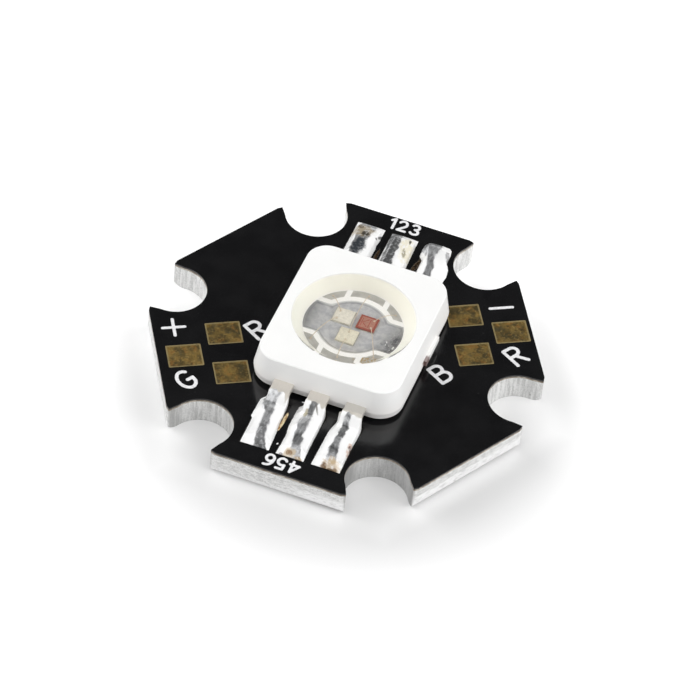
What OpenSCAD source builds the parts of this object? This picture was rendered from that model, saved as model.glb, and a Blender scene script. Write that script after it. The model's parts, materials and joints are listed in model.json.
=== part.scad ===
// Three-chip power LED soldered on a star-shaped metal-core board.
// Origin: centre of the board's underside. +Z is up and the two rows of leads leave along Y.
// All sizes are in millimetres and all angles in degrees.

/* [Board] */
// Distance between opposite flats of the star
board_across_flats = 20; // [19:0.1:22]
// Radius of the six screw notches, which clear an M3 screw
notch_r = 1.7; // [1.5:0.05:1.8]
// How far each notch's centre lies inside the circle that touches the flats
notch_inset = 0.3; // [0.1:0.05:0.5]
// Angle by which each flank of a notch opens outwards
notch_flare = 6; // [3:1:10]
// Step where a flank meets the round of its notch
flank_step = 0.03; // [0.02:0.01:0.06]
// Length taken off each pointed tip of the star
tip_blunting = 0.1; // [0.05:0.01:0.2]
// Thickness of the aluminium core
plate_thickness = 1.4; // [1:0.1:2]
// Radius of the rolled lower edge along the flats
edge_roll = 0.55; // [0.3:0.05:0.7]
// Thickness of the insulating resin
dielectric_thickness = 0.1; // [0.05:0.01:0.2]
// Thickness of the copper
copper_thickness = 0.07; // [0.04:0.01:0.12]
// Thickness of the solder mask over the copper
mask_cover = 0.03; // [0.02:0.01:0.05]

/* [Copper pattern] */
// Sideways offset of the printed pattern from the cut outline
print_offset_x = 0.15; // [-0.2:0.05:0.2]
// Offset of the printed pattern along the rows of leads
print_offset_y = 0.05; // [-0.2:0.05:0.2]
// Length of the open part of a wire pad
wire_pad_length = 1.75; // [1.4:0.05:1.9]
// Width of the open part of a wire pad
wire_pad_width = 1.45; // [1.2:0.05:1.6]
// Gap between the outermost wire pad and the flat beside it
wire_pad_margin = 0.4; // [0.3:0.05:0.6]
// Distance from the outer wire pad to the inner pair
wire_pad_pitch = 2.28; // [2.1:0.02:2.4]
// Half the distance between the two inner wire pads
wire_pad_spread = 1.42; // [1.2:0.02:1.5]
// Width of the open part of a lead pad
lead_pad_width = 1.58; // [1.3:0.02:1.7]
// Distance from the housing's side to a lead pad
lead_pad_gap = 0.65; // [0.5:0.05:0.8]
// Length of the open part of a lead pad
lead_pad_length = 3.38; // [2.8:0.02:3.6]
// Width of the copper traces
trace_width = 0.5; // [0.3:0.05:0.6]
// Gap between a trace and the copper beside it
trace_gap = 0.24; // [0.15:0.01:0.3]
// Distance along an outer lead pad to where its trace leaves sideways
trace_exit = 0.85; // [0.6:0.05:1.2]
// How far the mask covers the rim of each copper pad
mask_overlap = 0.08; // [0.04:0.01:0.12]
// Thickness of the plating on the open wire pads
plating_thickness = 0.01; // [0.005:0.005:0.02]

/* [Housing] */
// Sideways offset of the LED from the board's centre
led_offset_x = 0.27; // [0:0.01:0.35]
// Offset of the LED along the rows of leads
led_offset_y = 0.06; // [0:0.01:0.15]
// Width of the housing at the parting line
housing_width = 8.26; // [8:0.02:8.6]
// Length of the housing at the parting line
housing_length = 9.58; // [9.3:0.02:9.8]
// Corner radius at the parting line
housing_corner_r = 1.4; // [1:0.1:1.8]
// Height of the housing above the parting line
housing_upper = 1.38; // [1.2:0.02:1.6]
// Height of the housing below the parting line
housing_lower = 0.36; // [0.2:0.02:0.45]
// Draft of the side walls above the parting line
upper_draft = 10; // [3:0.5:12]
// Draft of the side walls below the parting line
lower_draft = 8; // [3:0.5:12]
// Width of the broken top edge
top_edge_break = 0.05; // [0.03:0.01:0.1]
// Length of the mark left by the moulding gate
gate_length = 2; // [1:0.1:3]
// Height of the gate mark
gate_height = 0.34; // [0.2:0.02:0.5]
// How far the gate mark stands out of the side
gate_proud = 0.13; // [0.05:0.01:0.2]
// Distance of the gate mark from the middle of the side
gate_offset = 0.7; // [-1:0.1:1]

/* [Reflector cup] */
// Radius of the cup at its rim
cup_rim_r = 3.31; // [3.2:0.01:3.5]
// Radius of the cup at its floor
cup_floor_r = 2.66; // [2.5:0.01:2.8]
// How far the clear filling stays below the rim
fill_drop = 0.08; // [0.05:0.01:0.2]
// Width of the plastic ribs between slug and lead tips
rib_width = 0.3; // [0.2:0.02:0.36]

/* [Heat slug] */
// Height of the slug from its foot to the cup's floor
slug_height = 0.82; // [0.7:0.02:0.95]
// Radius of the slug's foot
slug_foot_r = 2.9; // [2.7:0.05:3]
// Height of the slug's foot
slug_foot_height = 0.35; // [0.25:0.02:0.4]
// Radius of the slug's round middle in the cup's floor
slug_r = 1.92; // [1.85:0.01:2]
// Half the width of the slug's two side lobes
lobe_half_width = 1.08; // [1:0.02:1.15]
// How far the lobes run in under the cup's wall
lobe_grip = 0.35; // [0.2:0.05:0.5]
// Radius of the hollow corners between middle and lobes
lobe_fillet_r = 0.5; // [0.3:0.05:0.6]
// Depth of the coined recess that holds the chips
recess_depth = 0.1; // [0.06:0.01:0.14]
// Width of the slug's rim at the top of the recess
recess_rim = 0.05; // [0.04:0.01:0.1]
// Width of the sloping side of the recess
recess_slope = 0.14; // [0.08:0.01:0.2]
// Thickness of the solder under the slug
slug_solder_thickness = 0.08; // [0.04:0.01:0.12]
// How far the copper land under the slug stands out round the foot
thermal_pad_margin = 0.12; // [0.08:0.01:0.2]

/* [Leads] */
// Distance between neighbouring leads
lead_pitch = 2; // [1.9:0.01:2.05]
// Width of a lead outside the housing
lead_width = 1.06; // [0.8:0.02:1.2]
// Thickness of the lead sheet
lead_thickness = 0.25; // [0.2:0.01:0.3]
// Half the width of the middle lead's inner tip
centre_tip_half_width = 0.91; // [0.8:0.01:1]
// Gap between neighbouring inner tips
tip_gap = 0.29; // [0.2:0.01:0.4]
// How far the outer tips run in under the cup's wall
tip_grip = 0.45; // [0.3:0.05:0.6]
// Distance from the cup's rim to where a lead has its outside width
lead_neck = 0.25; // [0.15:0.05:0.4]
// Length over which a lead narrows to that width
lead_taper = 0.5; // [0.3:0.05:0.7]
// Length of lead between the housing's side and the first bend
lead_shelf = 0.45; // [0.3:0.05:0.6]
// Angle of the sloping part of a lead
lead_slope = 48; // [35:1:60]
// Radius of the bends, at the middle of the sheet
lead_bend_r = 0.35; // [0.3:0.05:0.45]
// Thickness of the solder under a lead's foot, and of what is drawn up round its slope
foot_solder = 0.03; // [0.02:0.01:0.05]
// Distance from the foot's end to the outer end of its pad
foot_end_gap = 0.6; // [0.4:0.02:0.8]

/* [Solder joints] */
// Height of the solder above the mask on a plain joint
solder_crest = 0.52; // [0.48:0.02:0.56]
// Height of the solder at the sides of a joint
solder_side_height = 0.06; // [0.04:0.01:0.1]
// Height of the solder where a joint starts under the lead
solder_start_height = 0.12; // [0.08:0.01:0.16]
// Length over which the solder runs out at the outer end of a plain joint
solder_runout = 1; // [0.8:0.05:1.2]
// Length over which the solder rises below the lead's slope
solder_rise = 0.5; // [0.3:0.05:0.7]
// Number of the overfilled joint, which spills sideways over the mask
spilt_joint = 4; // [1, 3, 4, 6]
// Radius of that spill
spill_r = 0.92; // [0.85:0.01:0.95]
// Height of that spill
spill_height = 0.4; // [0.3:0.02:0.46]
// Distance from the joint's middle line sideways to the spill's centre
spill_offset = 0.15; // [0.1:0.01:0.2]
// Distance from the joint's start to the spill's centre
spill_along = 1.1; // [0.95:0.05:1.5]

/* [Chips] */
// Side of a chip
die_side = 1; // [0.9:0.01:1.1]
// Thickness of a chip
die_thickness = 0.12; // [0.08:0.01:0.16]
// Gap between the two chips that lie side by side
die_gap = 0.34; // [0.28:0.01:0.4]
// Distance from the cup's centre to the middle of that pair
die_pair_y = 0.54; // [0.5:0.01:0.6]
// Distance from the cup's centre to the third chip
die_single_y = 0.73; // [0.7:0.01:0.8]
// Sideways offset of the three chips
die_group_x = -0.06; // [-0.1:0.01:0]
// Thickness of the adhesive under a chip
attach_thickness = 0.03; // [0.02:0.01:0.05]
// How far the adhesive shows round a chip
attach_squeeze = 0.05; // [0.03:0.01:0.08]

/* [Bond wires] */
// Diameter of a bond wire
wire_d = 0.04; // [0.03:0.005:0.05]
// Angle at which a wire leaves its bonds
wire_lift = 48; // [44:1:50]
// Diameter of a bond's foot
bond_d = 0.11; // [0.09:0.01:0.14]
// Height of a bond's foot
bond_height = 0.05; // [0.04:0.01:0.06]
// Distance from a chip's side to the bonds on it
bond_inset = 0.22; // [0.15:0.01:0.3]
// Angle round the cup from a middle lead's bond to the bonds beside it
side_bond_angle = 46; // [44:1:50]

/* [Smoothness] */
// Number of sides drawn on a large circle
round_sides = 96; // [48:12:144]

/* [Hidden] */
$fn = round_sides;

// A cut goes this far past the surface that it opens
past = 0.5;
// Number of steps in a bend or a rounded end
arc_steps = 8;

// The rolled edge's cutter is larger than the roll by this factor, and so leaves no sliver
roll_overcut = 1.02;

// The star
notch_count = 6;
// Angle from a notch to the flat beside it
flat_angle = 180 / notch_count;
half_flats = board_across_flats / 2;
notch_centre = half_flats - notch_inset;
// Half the notch's width between its flanks, at the notch's centre
flank_half_width = (notch_r - flank_step) / cos(notch_flare);
// Distance from the notch's centre outwards to the tip, measured along the notch
tip_run = (half_flats - notch_centre * cos(flat_angle) - flank_half_width * sin(flat_angle))
    / (cos(flat_angle) + tan(notch_flare) * sin(flat_angle));
tip_point = [notch_centre + tip_run, flank_half_width + tip_run * tan(notch_flare)];
tip_r = norm(tip_point) - tip_blunting;

// Heights above the board's underside
dielectric_z = plate_thickness;
copper_z = dielectric_z + dielectric_thickness;
copper_top = copper_z + copper_thickness;
mask_top = copper_top + mask_cover;
slug_z = copper_top + slug_solder_thickness;
floor_z = slug_z + slug_height;
lead_z = floor_z - lead_thickness;
parting_z = lead_z;
housing_bottom = parting_z - housing_lower;
housing_top = parting_z + housing_upper;
fill_z = housing_top - fill_drop;
recess_z = floor_z - recess_depth;
foot_z = copper_top + foot_solder;
attach_z = recess_z;
die_z = attach_z + attach_thickness;
die_top = die_z + die_thickness;

// Places on the board, for the pattern as printed
lead_pad_start = housing_length / 2 + lead_pad_gap;
lead_pad_end = lead_pad_start + lead_pad_length;
outer_pad_distance = half_flats - wire_pad_margin - wire_pad_length / 2;
inner_pad_distance = outer_pad_distance - wire_pad_pitch;
row_out = [cos(flat_angle), sin(flat_angle)];
row_side = [-sin(flat_angle), cos(flat_angle)];
outer_pad = row_out * outer_pad_distance;
upper_pad = row_out * inner_pad_distance + row_side * wire_pad_spread;
lower_pad = row_out * inner_pad_distance - row_side * wire_pad_spread;
thermal_pad_r = slug_foot_r + thermal_pad_margin;
neck_y = cup_rim_r + lead_neck;
taper_y = neck_y - lead_taper;
// Distance from a wire pad's middle to its copper's corners
pad_reach = norm([wire_pad_length, wire_pad_width]) / 2 + mask_overlap;
// The traces of a row leave its lead pads along these lines
trace_start = lead_pad_start + trace_width;
side_lane = lead_pad_start + trace_exit;
near_lane = lead_pad_start - mask_overlap - trace_gap - trace_width / 2;
far_lane = near_lane - trace_width - trace_gap;
far_turn_y = lower_pad[1] + trace_width + trace_gap;
NET_PATHS = [
    [[lead_pitch, side_lane], [upper_pad[0] + trace_width, side_lane], outer_pad],
    [[0, trace_start], [0, near_lane], [upper_pad[0] - pad_reach - trace_width, near_lane], upper_pad],
    [[-lead_pitch, trace_start], [-lead_pitch, far_lane],
        [upper_pad[0] - pad_reach - trace_width - trace_gap, far_lane],
        [upper_pad[0] - pad_reach, far_turn_y], lower_pad]];
NET_PADS = [outer_pad, upper_pad, lower_pad];

// No two hand-made joints are alike: each one's crest and run-out as shares of a plain one's
CREST_SHARES = [0.96, 1, 0.92, 1.13, 1.02, 0.92];
RUNOUT_SHARES = [1, 1.1, 0.9, 0.4, 1, 1.1];

// Leads 1 to 3 are the front row, and leads 4 to 6 the same row turned round to the back
function row_turn(i) = i <= 3 ? 180 : 0;
// Place in the row, counted from its right-hand end
function row_place(i) = (i - 1) % 3;
function row_x(i) = (1 - row_place(i)) * lead_pitch;

// Points along an arc in the plane, both ends included
function arc_points(centre, r, from, to) =
    [for (k = [0:arc_steps]) centre + r * [cos(from + (to - from) * k / arc_steps),
        sin(from + (to - from) * k / arc_steps)]];
function unit(v) = v / norm(v);
function left_of(v) = [-v[1], v[0]];
function mitre(a, b, c) =
    let (n = left_of(unit(b - a)), m = unit(n + left_of(unit(c - b)))) m / (m * n);
// The path's points moved sideways by a distance, with mitred corners
function beside(path, distance) =
    let (last = len(path) - 1)
    [for (k = [0:last]) path[k] + distance * (k == 0 ? left_of(unit(path[1] - path[0]))
        : k == last ? left_of(unit(path[last] - path[last - 1]))
        : mitre(path[k - 1], path[k], path[k + 1]))];
function reversed(path) = [for (k = [len(path) - 1:-1:0]) path[k]];
function cup_r(z) = cup_floor_r + (cup_rim_r - cup_floor_r) * (z - floor_z) / (housing_top - floor_z);

// A flat strip of one width along a path
module strip(path, width) {
    polygon(concat(beside(path, -width / 2), reversed(beside(path, width / 2))));
}

module on_print(turn = 0) {
    translate([print_offset_x, print_offset_y, 0]) rotate([0, 0, turn]) children();
}

module on_led(turn = 0) {
    translate([led_offset_x, led_offset_y, 0]) rotate([0, 0, turn]) children();
}

// The board's layers share this outline
module star_outline() {
    intersection() {
        difference() {
            circle(r = half_flats / cos(flat_angle), $fn = notch_count);
            for (k = [1:notch_count])
                rotate([0, 0, 2 * flat_angle * k]) notch_outline();
        }
        circle(r = tip_r);
    }
}

// A round notch centred on the X axis, with straight flanks that open outwards
module notch_outline() {
    reach = half_flats;
    mouth_half_width = flank_half_width + reach * tan(notch_flare);
    translate([notch_centre, 0]) {
        circle(r = notch_r);
        polygon([[0, -flank_half_width], [reach, -mouth_half_width], [reach, mouth_half_width],
            [0, flank_half_width]]);
    }
}

module base_plate() {
    color([0.78, 0.78, 0.77])
        difference() {
            linear_extrude(height = plate_thickness) star_outline();
            for (k = [1:notch_count])
                rotate([0, 0, flat_angle * (2 * k - 1)]) edge_roll_cut();
        }
}

// What the rolled edge takes off along one flat
module edge_roll_cut() {
    rotate([90, 0, 0])
        linear_extrude(height = board_across_flats, center = true)
            difference() {
                translate([half_flats - edge_roll, -edge_roll]) square(2 * edge_roll);
                translate([half_flats - edge_roll, edge_roll]) circle(r = edge_roll * roll_overcut);
            }
}

module dielectric_layer() {
    color([0.62, 0.45, 0.30])
        translate([0, 0, dielectric_z])
            linear_extrude(height = dielectric_thickness) star_outline();
}

// The open part of a wire pad, grown by a margin
module wire_pad_outline(place, margin = 0) {
    translate(place)
        rotate([0, 0, flat_angle])
            square([wire_pad_length + 2 * margin, wire_pad_width + 2 * margin], center = true);
}

// The open part of a lead pad, grown by a margin
module lead_pad_outline(x, margin = 0) {
    translate([x - lead_pad_width / 2 - margin, lead_pad_start - margin])
        square([lead_pad_width + 2 * margin, lead_pad_length + 2 * margin]);
}

module net_outline(i) {
    lead_pad_outline(row_x(i), mask_overlap);
    wire_pad_outline(NET_PADS[row_place(i)], mask_overlap);
    strip(NET_PATHS[row_place(i)], trace_width);
}

// Copper with a thin plating where the mask leaves the wire pad open
module copper_net(i) {
    color([0.72, 0.55, 0.30])
        on_print(row_turn(i)) {
            translate([0, 0, copper_z])
                linear_extrude(height = copper_thickness) net_outline(i);
            translate([0, 0, copper_top])
                linear_extrude(height = plating_thickness)
                    wire_pad_outline(NET_PADS[row_place(i)]);
        }
}

module thermal_pad() {
    color([0.72, 0.55, 0.30])
        on_led()
            translate([0, 0, copper_z]) cylinder(r = thermal_pad_r, h = copper_thickness);
}

module solder_mask() {
    color([0.08, 0.08, 0.09])
        difference() {
            translate([0, 0, copper_z])
                linear_extrude(height = mask_top - copper_z) star_outline();
            for (i = [1:6]) {
                copper_net(i);
                on_print(row_turn(i))
                    translate([0, 0, copper_top])
                        linear_extrude(height = past) {
                            wire_pad_outline(NET_PADS[row_place(i)]);
                            lead_pad_outline(row_x(i));
                        }
            }
            thermal_pad();
            on_led() translate([0, 0, copper_top]) cylinder(r = slug_foot_r, h = past);
        }
}

module slug_solder() {
    color([0.80, 0.80, 0.80])
        on_led()
            translate([0, 0, copper_top]) cylinder(r = slug_foot_r, h = slug_solder_thickness);
}

// A round middle with two side lobes and hollow corners between them
module lobed_outline(middle_r, half_width, reach, fillet_r) {
    fillet_x = sqrt((middle_r + fillet_r) ^ 2 - (half_width + fillet_r) ^ 2);
    touch = [fillet_x, half_width + fillet_r] * middle_r / (middle_r + fillet_r);
    circle(r = middle_r);
    square([2 * reach, 2 * half_width], center = true);
    for (turn = [0, 180])
        rotate([0, 0, turn])
            for (flip = [0, 1])
                mirror([0, flip, 0])
                    difference() {
                        polygon([[0, 0], [fillet_x, 0], [fillet_x, half_width], touch]);
                        translate([fillet_x, half_width + fillet_r]) circle(r = fillet_r);
                    }
}

// The slug before its recess is coined
module slug_blank() {
    translate([0, 0, slug_z]) {
        cylinder(r = slug_foot_r, h = slug_foot_height);
        linear_extrude(height = slug_height)
            lobed_outline(slug_r, lobe_half_width, cup_floor_r + lobe_grip, lobe_fillet_r);
    }
}

// The recess has sloping sides, and its ends stop short of the cup's wall
module slug_recess() {
    inner_r = slug_r - recess_rim;
    inner_half = lobe_half_width - recess_rim;
    end_r = cup_floor_r - recess_rim;
    rise = recess_slope / recess_depth * past;
    height = recess_depth + past;
    translate([0, 0, recess_z]) {
        cylinder(r1 = inner_r - recess_slope, r2 = inner_r + rise, h = height);
        intersection() {
            cylinder(r1 = end_r - recess_slope, r2 = end_r + rise, h = height);
            rotate([90, 0, 90])
                linear_extrude(height = 2 * cup_rim_r, center = true)
                    polygon([[-inner_half + recess_slope, 0], [inner_half - recess_slope, 0],
                        [inner_half + rise, height], [-inner_half - rise, height]]);
        }
    }
}

module heat_slug() {
    color([0.62, 0.62, 0.65])
        on_led()
            difference() {
                slug_blank();
                slug_recess();
            }
}

// The lead sheet inside the housing, from the tip in the cup to where the lead leaves
module finger_outline(i) {
    inner_r = slug_r + rib_width;
    shoulder = lobe_half_width + rib_width;
    side_tip = centre_tip_half_width + tip_gap;
    outer_side = sqrt(cup_floor_r ^ 2 - shoulder ^ 2) + tip_grip;
    lead_half = lead_width / 2;
    x = row_x(i);
    difference() {
        if (x == 0)
            polygon([[-centre_tip_half_width, shoulder], [centre_tip_half_width, shoulder],
                [centre_tip_half_width, taper_y], [lead_half, neck_y], [-lead_half, neck_y],
                [-centre_tip_half_width, taper_y]]);
        else
            mirror([x < 0 ? 1 : 0, 0])
                polygon([[side_tip, shoulder], [outer_side, shoulder], [outer_side, taper_y],
                    [lead_pitch + lead_half, neck_y], [lead_pitch - lead_half, neck_y],
                    [side_tip, taper_y]]);
        circle(r = inner_r);
    }
}

// The middle line of a lead's strip, from within its inner part out to its foot
function lead_path() =
    let (high = lead_z + lead_thickness / 2,
        low = foot_z + lead_thickness / 2,
        bend_y = housing_length / 2 + lead_shelf,
        slope_drop = high - low - 2 * lead_bend_r * (1 - cos(lead_slope)),
        foot_y = bend_y + 2 * lead_bend_r * sin(lead_slope) + slope_drop / tan(lead_slope),
        end = lead_pad_end - foot_end_gap)
    concat([[taper_y, high]],
        arc_points([bend_y, high - lead_bend_r], lead_bend_r, 90, 90 - lead_slope),
        arc_points([foot_y, low + lead_bend_r], lead_bend_r, 270 - lead_slope, 270),
        [[end, low]]);

// The part of that line from the first bend to the foot
function lead_slope_path() =
    let (path = lead_path()) [for (k = [1:len(path) - 2]) path[k]];

module lead_solid(i) {
    translate([0, 0, lead_z])
        linear_extrude(height = lead_thickness) finger_outline(i);
    translate([row_x(i), 0, 0])
        rotate([90, 0, 90])
            linear_extrude(height = lead_width, center = true) strip(lead_path(), lead_thickness);
}

module lead(i) {
    color([0.80, 0.80, 0.78])
        on_led(row_turn(i)) lead_solid(i);
}

// A rounded rectangle grown or shrunk by a distance, as corner posts and two slabs
module drafted_block(z, height, grow_low, grow_high) {
    corner_x = housing_width / 2 - housing_corner_r;
    corner_y = housing_length / 2 - housing_corner_r;
    translate([0, 0, z]) {
        for (sx = [-1, 1], sy = [-1, 1])
            translate([sx * corner_x, sy * corner_y, 0])
                cylinder(r1 = housing_corner_r + grow_low, r2 = housing_corner_r + grow_high,
                    h = height);
        rotate([90, 0, 0])
            linear_extrude(height = 2 * corner_y, center = true)
                slab_section(housing_width / 2, height, grow_low, grow_high);
        rotate([90, 0, 90])
            linear_extrude(height = 2 * corner_x, center = true)
                slab_section(housing_length / 2, height, grow_low, grow_high);
    }
}

module slab_section(half, height, grow_low, grow_high) {
    polygon([[-half - grow_low, 0], [half + grow_low, 0], [half + grow_high, height],
        [-half - grow_high, height]]);
}

module housing_block() {
    lower_in = housing_lower * tan(lower_draft);
    upper_in = (housing_upper - top_edge_break) * tan(upper_draft);
    drafted_block(housing_bottom, housing_lower, -lower_in, 0);
    drafted_block(parting_z, housing_upper - top_edge_break, 0, -upper_in);
    drafted_block(housing_top - top_edge_break, top_edge_break, -upper_in,
        -upper_in - top_edge_break);
    translate([0, gate_offset - gate_length / 2, parting_z - gate_height / 2])
        cube([housing_width / 2 + gate_proud, gate_length, gate_height]);
}

module housing() {
    color([0.95, 0.95, 0.93])
        on_led()
            difference() {
                housing_block();
                translate([0, 0, floor_z])
                    cylinder(r1 = cup_floor_r, r2 = cup_r(housing_top + past),
                        h = housing_top + past - floor_z);
                slug_blank();
                for (i = [1:6])
                    rotate([0, 0, row_turn(i)]) lead_solid(i);
            }
}

// Solder seen from its side: it rises below the lead's slope and runs out at the pad's end
module solder_side_profile(crest, runout) {
    rise_end = lead_pad_start + solder_rise;
    climb = crest - solder_start_height;
    fall = crest - solder_side_height;
    polygon(concat([[lead_pad_start, 0], [lead_pad_end, 0]],
        [for (k = [0:arc_steps]) let (a = 90 * k / arc_steps)
            [lead_pad_end - runout * (1 - cos(a)), solder_side_height + fall * sin(a)]],
        [for (k = [0:arc_steps]) let (a = 90 * k / arc_steps)
            [rise_end - solder_rise * sin(a), solder_start_height + climb * cos(a)]]));
}

// The mound on a pad: the side profile limited by a round back along the lead
module solder_mound(i) {
    crest = solder_crest * CREST_SHARES[i - 1];
    sag = crest - solder_side_height;
    back_r = ((lead_pad_width / 2) ^ 2 + sag ^ 2) / (2 * sag);
    translate([row_x(i), 0, mask_top])
        intersection() {
            rotate([90, 0, 90])
                linear_extrude(height = lead_pad_width, center = true)
                    solder_side_profile(crest, solder_runout * RUNOUT_SHARES[i - 1]);
            translate([0, 0, crest - back_r])
                rotate([-90, 0, 0]) cylinder(r = back_r, h = lead_pad_end + past);
        }
}

// The overfilled joint's spill: a round cap that bulges out over the mask on the row's outside
module solder_spill(i) {
    cap_r = (spill_r ^ 2 + spill_height ^ 2) / (2 * spill_height);
    outside = row_x(i) < 0 ? -1 : 1;
    translate([row_x(i) + outside * spill_offset, lead_pad_start + spill_along, mask_top])
        intersection() {
            translate([0, 0, spill_height - cap_r]) sphere(r = cap_r);
            cylinder(r = cap_r, h = cap_r);
        }
}

// Solder drawn up round a lead's slope
module solder_coat(i) {
    translate([row_x(i), 0, 0])
        rotate([90, 0, 90])
            linear_extrude(height = lead_width + 2 * foot_solder, center = true)
                strip(lead_slope_path(), lead_thickness + 2 * foot_solder);
}

module solder_joint(i) {
    color([0.78, 0.78, 0.78])
        difference() {
            union() {
                on_print(row_turn(i)) {
                    translate([0, 0, copper_top])
                        linear_extrude(height = mask_cover) lead_pad_outline(row_x(i));
                    solder_mound(i);
                    if (i == spilt_joint)
                        solder_spill(i);
                }
                on_led(row_turn(i)) solder_coat(i);
            }
            on_led(row_turn(i)) lead_solid(i);
        }
}

// Middle of each chip in the cup: two side by side, and the third in front of them
function die_place(name) =
    name == "a" ? [die_group_x - (die_side + die_gap) / 2, die_pair_y]
    : name == "red" ? [die_group_x + (die_side + die_gap) / 2, die_pair_y]
    : [die_group_x, -die_single_y];

module die_body(name) {
    translate(concat(die_place(name), die_z + die_thickness / 2))
        cube([die_side, die_side, die_thickness], center = true);
}

module die(name) {
    color(name == "red" ? [0.70, 0.30, 0.22] : [0.86, 0.84, 0.74])
        on_led() die_body(name);
}

module attach_body(name) {
    side = die_side + 2 * attach_squeeze;
    translate(concat(die_place(name), attach_z + attach_thickness / 2))
        cube([side, side, attach_thickness], center = true);
}

module die_attach(name) {
    color([0.45, 0.42, 0.38])
        on_led() attach_body(name);
}

// Each chip has two bonds, one towards each row of leads
function die_bond(name, toward) =
    let (middle = die_place(name), half = die_side / 2 - bond_inset)
    [middle[0] + (name == "a" ? -half : name == "red" ? half : 0), middle[1] + toward * half, die_top];
// The bond on a lead's inner tip
function tip_bond(i) =
    let (inner_r = slug_r + rib_width, mid_r = (inner_r + cup_floor_r) / 2,
        side = (1 - row_place(i)) * side_bond_angle,
        turn = row_turn(i))
    [mid_r * sin(side) * cos(turn), mid_r * cos(side) * cos(turn), floor_z];
// The chip that each lead serves
WIRE_DIES = ["a", "b", "red", "red", "b", "a"];

// A round wire in one arc between two bonds, each with a flat foot
module wire_body(from, to) {
    rise = [0, 0, bond_height - wire_d / 2];
    ends = [from + rise, to + rise];
    chord = ends[1] - ends[0];
    span = norm(chord);
    arc_r = span / (2 * sin(wire_lift));
    for (place = [from, to])
        translate(place) cylinder(d = bond_d, h = bond_height, $fn = 24);
    translate(ends[0])
        rotate([0, 0, atan2(chord[1], chord[0])])
            rotate([0, -asin(chord[2] / span), 0])
                translate([span / 2, 0, -arc_r * cos(wire_lift)])
                    rotate([90, 0, 0])
                        rotate([0, 0, 90 - wire_lift])
                            rotate_extrude(angle = 2 * wire_lift)
                                translate([arc_r, 0]) circle(d = wire_d, $fn = 16);
}

module bond_wire_body(i) {
    wire_body(die_bond(WIRE_DIES[i - 1], cos(row_turn(i))), tip_bond(i));
}

module bond_wire(i) {
    color([0.85, 0.70, 0.35])
        on_led() bond_wire_body(i);
}

module encapsulant() {
    color([0.93, 0.92, 0.86, 0.35])
        on_led()
            difference() {
                union() {
                    translate([0, 0, floor_z])
                        cylinder(r1 = cup_floor_r, r2 = cup_r(fill_z), h = fill_z - floor_z);
                    intersection() {
                        slug_recess();
                        translate([0, 0, recess_z])
                            cylinder(r = cup_floor_r, h = recess_depth);
                    }
                }
                for (name = ["a", "red", "b"]) {
                    die_body(name);
                    attach_body(name);
                }
                for (i = [1:6])
                    bond_wire_body(i);
            }
}

base_plate();
dielectric_layer();
copper_net(1);  // copper_net_1
copper_net(2);  // copper_net_2
copper_net(3);  // copper_net_3
copper_net(4);  // copper_net_4
copper_net(5);  // copper_net_5
copper_net(6);  // copper_net_6
thermal_pad();
solder_mask();
slug_solder();
heat_slug();
housing();
lead(1);  // lead_1
lead(2);  // lead_2
lead(3);  // lead_3
lead(4);  // lead_4
lead(5);  // lead_5
lead(6);  // lead_6
solder_joint(1);  // solder_joint_1
solder_joint(2);  // solder_joint_2
solder_joint(3);  // solder_joint_3
solder_joint(4);  // solder_joint_4
solder_joint(5);  // solder_joint_5
solder_joint(6);  // solder_joint_6
die("a");  // die_a
die("red");  // die_red
die("b");  // die_b
die_attach("a");  // die_attach_a
die_attach("red");  // die_attach_red
die_attach("b");  // die_attach_b
bond_wire(1);  // bond_wire_1
bond_wire(2);  // bond_wire_2
bond_wire(3);  // bond_wire_3
bond_wire(4);  // bond_wire_4
bond_wire(5);  // bond_wire_5
bond_wire(6);  // bond_wire_6
encapsulant();
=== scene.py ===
"""Looks of the high power LED: materials, solder, silicone, chips, printed marks, light and camera.

Lengths in this script are millimetres in the row frame, and helpers turn them into metres.
"""

import json
import math
from functools import reduce

import bmesh
import bpy
import numpy as np
from mathutils import Matrix, Vector, noise


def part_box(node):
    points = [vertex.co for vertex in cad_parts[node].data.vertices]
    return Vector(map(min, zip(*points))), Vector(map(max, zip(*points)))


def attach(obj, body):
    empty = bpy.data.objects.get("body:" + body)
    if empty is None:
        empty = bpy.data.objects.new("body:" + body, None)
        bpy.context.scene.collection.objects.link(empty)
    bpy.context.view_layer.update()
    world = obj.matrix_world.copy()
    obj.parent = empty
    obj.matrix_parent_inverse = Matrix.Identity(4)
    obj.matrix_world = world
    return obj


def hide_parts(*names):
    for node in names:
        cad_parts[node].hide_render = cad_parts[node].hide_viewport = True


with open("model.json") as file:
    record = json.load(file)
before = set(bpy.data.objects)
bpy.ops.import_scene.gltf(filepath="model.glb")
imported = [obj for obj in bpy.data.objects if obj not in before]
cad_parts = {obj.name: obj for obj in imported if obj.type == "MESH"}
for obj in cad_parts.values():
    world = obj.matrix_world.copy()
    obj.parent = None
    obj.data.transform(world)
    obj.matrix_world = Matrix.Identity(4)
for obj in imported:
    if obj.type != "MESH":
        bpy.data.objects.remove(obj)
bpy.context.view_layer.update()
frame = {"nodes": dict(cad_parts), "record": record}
MM = 0.001

# Places and sizes that part.scad also uses
LED = (0.27, 0.06)           # middle of the LED in the plan
PRINT = (0.15, 0.05)         # middle of its lead pads
PAD_START = 5.44             # near end of a lead pad, from PRINT
PAD_LENGTH = 3.38
LEAD_PITCH = 2.0
LEAD_HALF = 0.53             # half a lead's width
WIRE_PAD = (1.75, 1.45)
WIRE_PAD_TURN = 30.0
WIRE_PAD_ROUND = 0.10
CUP_FLOOR_R = 2.66
CUP_RIM_R = 3.31
FLAT_TURNS = (30, 90, 150)   # directions of the board's flats

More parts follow.
